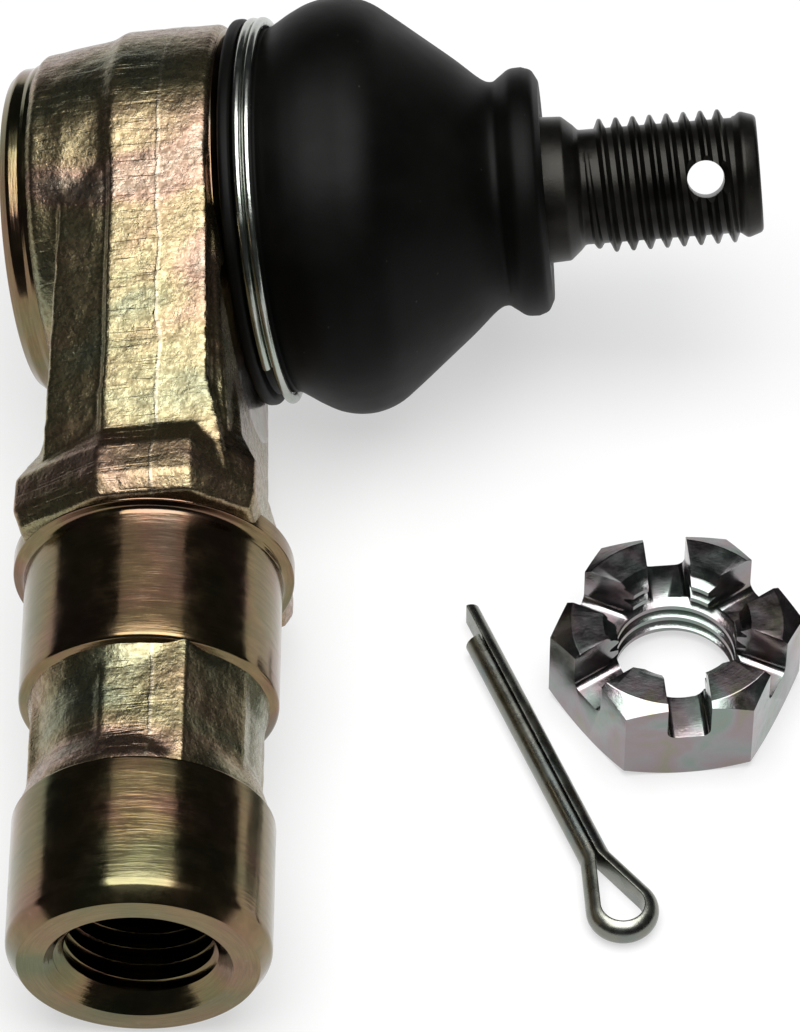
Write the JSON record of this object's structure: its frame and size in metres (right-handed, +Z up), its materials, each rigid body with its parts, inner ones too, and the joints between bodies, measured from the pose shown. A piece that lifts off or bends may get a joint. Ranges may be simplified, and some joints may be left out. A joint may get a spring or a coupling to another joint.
{
  "type": "tie rod end",
  "caption": "Steering tie rod end: forged eye and internally threaded shank, ball stud swinging under a rubber dust boot, with slotted nut and cotter pin beside it",
  "frame": {"origin": "middle of the underside of the whole kit as it lies on a table", "axes": "+Z up, +X towards the threaded end of the ball stud, the shank's open end points to -Y"},
  "size_m": [0.0698, 0.0968, 0.0369],
  "materials": {
    "yellow_chromate": "yellow zinc chromate over a forging, two machined bands",
    "acetal": "natural acetal",
    "acetal_rear": "natural acetal",
    "spring_steel": "plain spring steel",
    "cover_zinc": "yellow zinc chromate",
    "black_oxide": "black oxide, slightly oily",
    "black_rubber": "smooth moulded rubber",
    "wire_zinc": "bright zinc wire",
    "ring_steel": "plain steel",
    "bright_zinc": "clear zinc, faint rainbow tint",
    "pin_zinc": "dull zinc"
  },
  "bodies": {
    "housing": {"housing": "yellow_chromate", "front_seat": "acetal", "rear_seat": "acetal_rear", "preload_spring": "spring_steel", "end_cover": "cover_zinc", "dust_boot": "black_rubber", "boot_clamp_ring": "wire_zinc"},
    "lip": {"boot_lip_ring": "ring_steel"},
    "stud": {"ball_stud": "black_oxide"},
    "nut": {"castle_nut": "bright_zinc"},
    "pin": {"cotter_pin": "pin_zinc"}
  },
  "joints": [
    {"name": "stud_swing", "type": "hinge", "parent": "housing", "child": "lip", "pos_m": [-0.02025, 0.02946, 0.01708], "axis": [-0.075, 0.7871, 0.6122], "range_deg": [-24, 15], "deforming": ["dust_boot"]},
    {"name": "stud_spin", "type": "hinge", "parent": "lip", "child": "stud", "pos_m": [-0.02025, 0.02946, 0.01708], "axis": [0.9958, 0.0271, 0.0872], "continuous": true},
    {"name": "nut_lift", "type": "slide", "parent": "housing", "child": "nut", "axis": [0, 0, 1], "range_m": [0, 0.06]},
    {"name": "pin_lift", "type": "slide", "parent": "housing", "child": "pin", "axis": [0, 0, 1], "range_m": [0, 0.06]}
  ]
}
